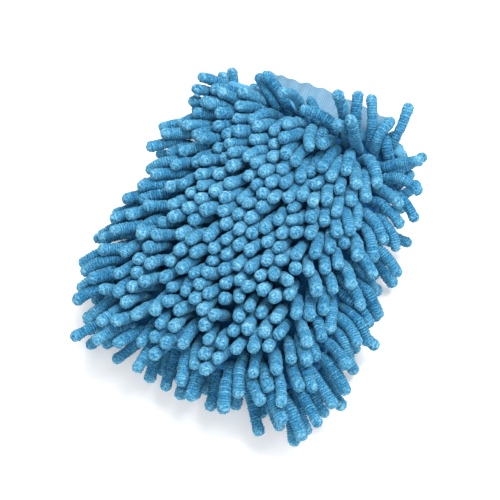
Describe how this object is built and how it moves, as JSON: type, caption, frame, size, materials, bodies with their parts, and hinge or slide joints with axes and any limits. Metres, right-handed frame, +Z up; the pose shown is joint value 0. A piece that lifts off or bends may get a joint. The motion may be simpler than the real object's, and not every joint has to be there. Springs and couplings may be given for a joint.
{
  "type": "wash mitt",
  "caption": "Car wash mitt: a fabric pouch covered on both sides with rows of blue chenille fingers, with a lined hand pocket and a ribbed elastic cuff.",
  "frame": {"origin": "on the floor, below the middle of the mitt's overall box", "axes": "+X across the mitt, +Y from the closed end to the cuff, +Z up from the lower pile to the upper pile"},
  "size_m": [0.1764, 0.2272, 0.074],
  "materials": {
    "chenille": "fuzzy microfibre pile",
    "base_fabric": "matte knit",
    "lining": "matte knit",
    "hem": "smooth bound edge",
    "cuff_knit": "matte rib knit",
    "elastic": "woven elastic",
    "thread": "matte thread"
  },
  "bodies": {
    "root": {"upper_backing": "base_fabric", "lower_backing": "base_fabric", "upper_lining": "lining", "lower_lining": "lining", "side_seam_allowance": "base_fabric", "side_seam_stitches": "thread", "mouth_hem_band": "hem", "mouth_hem_stitches": "thread", "cuff_rib_knit": "cuff_knit", "cuff_elastic": "elastic", "cuff_hem_stitches": "thread", "upper_pile_row_01": "chenille", "upper_pile_row_02": "chenille", "upper_pile_row_03": "chenille", "upper_pile_row_04": "chenille", "upper_pile_row_05": "chenille", "upper_pile_row_06": "chenille", "upper_pile_row_07": "chenille", "upper_pile_row_08": "chenille", "upper_pile_row_09": "chenille", "upper_pile_row_10": "chenille", "upper_pile_row_11": "chenille", "upper_pile_row_12": "chenille", "upper_pile_row_13": "chenille", "upper_pile_row_14": "chenille", "upper_pile_row_15": "chenille", "upper_pile_row_16": "chenille", "upper_pile_row_17": "chenille", "upper_pile_row_18": "chenille", "upper_pile_row_19": "chenille", "upper_pile_row_20": "chenille", "upper_pile_row_21": "chenille", "lower_pile_row_01": "chenille", "lower_pile_row_02": "chenille", "lower_pile_row_03": "chenille", "lower_pile_row_04": "chenille", "lower_pile_row_05": "chenille", "lower_pile_row_06": "chenille", "lower_pile_row_07": "chenille", "lower_pile_row_08": "chenille", "lower_pile_row_09": "chenille", "lower_pile_row_10": "chenille", "lower_pile_row_11": "chenille", "lower_pile_row_12": "chenille", "lower_pile_row_13": "chenille", "lower_pile_row_14": "chenille", "lower_pile_row_15": "chenille", "lower_pile_row_16": "chenille", "lower_pile_row_17": "chenille", "lower_pile_row_18": "chenille", "lower_pile_row_19": "chenille", "lower_pile_row_20": "chenille", "lower_pile_row_21": "chenille"}
  },
  "joints": []
}
